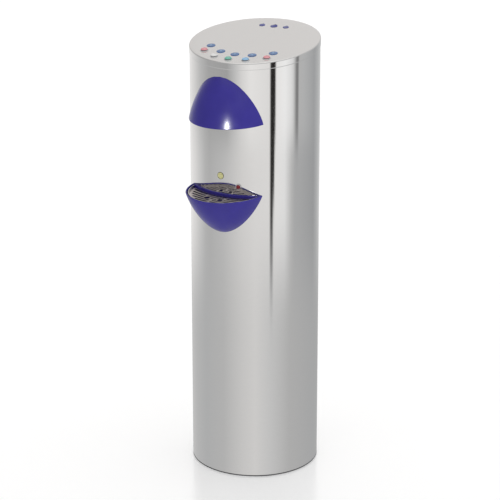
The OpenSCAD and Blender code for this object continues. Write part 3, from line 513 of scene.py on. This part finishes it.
def studio():
    """Soft walls all round and light overhead, behind a plain pale background that only the camera sees."""
    world = bpy.data.worlds.new("studio")
    scene.world = world
    world.use_nodes = True
    tree = world.node_tree
    tree.nodes.clear()
    new, link = tree.nodes.new, tree.links.new
    where = new("ShaderNodeTexCoord")
    turned = new("ShaderNodeMapping")
    turned.vector_type = "POINT"
    turned.inputs["Rotation"].default_value = (0, 0, -radians(CAM_AZ))
    split = new("ShaderNodeSeparateXYZ")
    minus = new("ShaderNodeMath")
    minus.operation = "MULTIPLY"
    minus.inputs[1].default_value = -1
    angle = new("ShaderNodeMath")
    angle.operation = "ARCTAN2"
    share = new("ShaderNodeMapRange")
    share.inputs["From Min"].default_value = -pi
    share.inputs["From Max"].default_value = pi
    link(where.outputs["Generated"], turned.inputs["Vector"])
    link(turned.outputs["Vector"], split.inputs["Vector"])
    link(split.outputs["Y"], minus.inputs[0])
    link(split.outputs["X"], angle.inputs[0])
    link(minus.outputs["Value"], angle.inputs[1])
    link(angle.outputs["Value"], share.inputs["Value"])
    around = share.outputs["Result"]

    def level(edge):
        """The walls 21 to 17 degrees below the horizon, with a dark gap up to this azimuth."""
        return [(-180, 0.78, 0.0), (-157, 0.9, 0.01), (-134, 0.84, 0.01), (-112, 0.68, 0.0),
                (-100, 0.57, 0.0), (-88, 0.53, 0.0), (-60, 0.61, 0.0), (-23, 0.78, 0.012), (0, 0.84, 0.012),
                (26.2, 0.86, 0.012), (27.2, 0.025, 0.06), (edge, 0.025, 0.06), (edge + 1.2, 0.95, 0.01),
                (54, 0.92, 0.0), (68, 0.58, 0.0), (75, 0.50, -0.01), (128, 0.40, -0.02),
                (160, 0.62, -0.01), (180, 0.78, 0.0)]

    # the walls just under the horizon, down by the floor, and above the horizon
    crown = [(-180, 0.76, 0.0), (-157, 0.88, 0.01), (-134, 0.79, 0.01), (-112, 0.6, 0.0), (-89, 0.46, 0.0),
             (-50, 0.43, 0.0), (-35, 0.64, 0.0), (-23, 0.82, 0.01), (-8, 0.96, 0.012), (26.2, 0.88, 0.012),
             (27.2, 0.025, 0.06), (36.0, 0.025, 0.06), (37.0, 0.98, 0.01), (54, 1.04, 0.0), (66, 0.91, 0.0),
             (71, 0.78, 0.0), (78, 0.24, 0.0), (81, 0.24, 0.0), (84, 0.56, 0.0), (95, 0.55, -0.01),
             (128, 0.43, -0.02), (160, 0.6, -0.01), (180, 0.76, 0.0)]
    low = [(-180, 0.52, 0.0), (-157, 0.6, 0.0), (-100, 0.53, -0.01), (-60, 0.56, 0.0), (-23, 0.70, 0.008),
           (0, 0.76, 0.01), (29, 0.67, 0.0), (66, 0.53, 0.0), (128, 0.48, -0.01), (160, 0.45, -0.01),
           (180, 0.52, 0.0)]
    high = [(-180, 0.78, 0.012), (-150, 0.6, 0.01), (-110, 0.4, 0.0), (-60, 0.5, 0.0), (-25, 0.5, 0.0),
            (30, 0.5, 0.0), (70, 0.55, 0.0), (150, 0.64, -0.005), (180, 0.78, 0.012)]

    def mix(below, above, from_el, to_el):
        """One part of the studio fading into the next between two elevations in degrees."""
        fade = new("ShaderNodeMapRange")
        fade.interpolation_type = "SMOOTHSTEP"
        fade.inputs["From Min"].default_value = sin(radians(from_el))
        fade.inputs["From Max"].default_value = sin(radians(to_el))
        link(split.outputs["Z"], fade.inputs["Value"])
        both = new("ShaderNodeMix")
        both.data_type = "RGBA"
        link(fade.outputs["Result"], both.inputs["Factor"])
        link(below, both.inputs["A"])
        link(above, both.inputs["B"])
        return both.outputs["Result"]

    whole = ramp(tree, low, around)
    for stops, from_el, to_el in ((level(31.4), -21.5, -18.3), (level(34), -18.8, -17.8),
                                  (crown, -17.3, -16.3), (high, -6, 6)):
        whole = mix(whole, ramp(tree, stops, around), from_el, to_el)
    overhead = new("ShaderNodeRGB")
    overhead.outputs[0].default_value = (1.1, 1.1, 1.1, 1)
    whole = mix(whole, overhead.outputs[0], 52, 66)
    seen = new("ShaderNodeLightPath")
    split_view = new("ShaderNodeMix")
    split_view.data_type = "RGBA"
    split_view.inputs["B"].default_value = (0.99, 0.99, 0.99, 1)
    link(seen.outputs["Is Camera Ray"], split_view.inputs["Factor"])
    link(whole, split_view.inputs["A"])
    back = new("ShaderNodeBackground")
    out = new("ShaderNodeOutputWorld")
    link(split_view.outputs["Result"], back.inputs["Color"])
    link(back.outputs["Background"], out.inputs["Surface"])


def softbox(name, az, el, distance, size, power, only, aim=(0, 0, 0.6), glossy=True):
    """A soft light for the given pieces only, which shines in them or lights them without a reflection."""
    data = bpy.data.lights.new(name, "AREA")
    data.shape = "RECTANGLE"
    data.size, data.size_y = size
    data.energy = power
    lamp = bpy.data.objects.new(name, data)
    scene.collection.objects.link(lamp)
    a, e = radians(az), radians(el)
    toward = Vector((sin(a) * cos(e), -cos(a) * cos(e), sin(e)))
    lamp.location = Vector(aim) + toward * distance
    lamp.rotation_euler = toward.to_track_quat("Z", "Y").to_euler()
    lamp.visible_glossy = glossy
    lamp.visible_diffuse = not glossy
    lit = bpy.data.collections.new(name + "_on")
    for obj in only:
        lit.objects.link(obj)
    lamp.light_linking.receiver_collection = lit


studio()
for name, power, shell in (("strip", 230, hood_piece), ("sliver", 45, bowl_piece)):
    softbox(name, 29.7, 5, 3.0, (0.25, 1.0), power, [shell], aim=(0.044, -0.194, 0.885))
softbox("back", CAM_AZ + 180, 20, 30.0, (24, 14), 320, [floor], aim=(0, 0, 0))
all_but_floor = [obj for obj in scene.objects if obj.type == "MESH" and obj != floor]
softbox("top", 85, 45, 3.2, (2.4, 1.6), 24, all_but_floor, glossy=False)

view = bpy.data.cameras.new("view")
view.sensor_width = 36
view.lens = 4.636 * view.sensor_width
view.shift_x = -0.01004
view.shift_y = 0.0144
view.clip_end = 100
camera = bpy.data.objects.new("view", view)
scene.collection.objects.link(camera)
az, el = radians(CAM_AZ), radians(CAM_EL)
away = Vector((sin(az) * cos(el), -cos(az) * cos(el), sin(el)))
camera.location = Vector((0, 0, 0.5)) + away * CAM_DISTANCE
camera.rotation_euler = away.to_track_quat("Z", "Y").to_euler()
scene.camera = camera
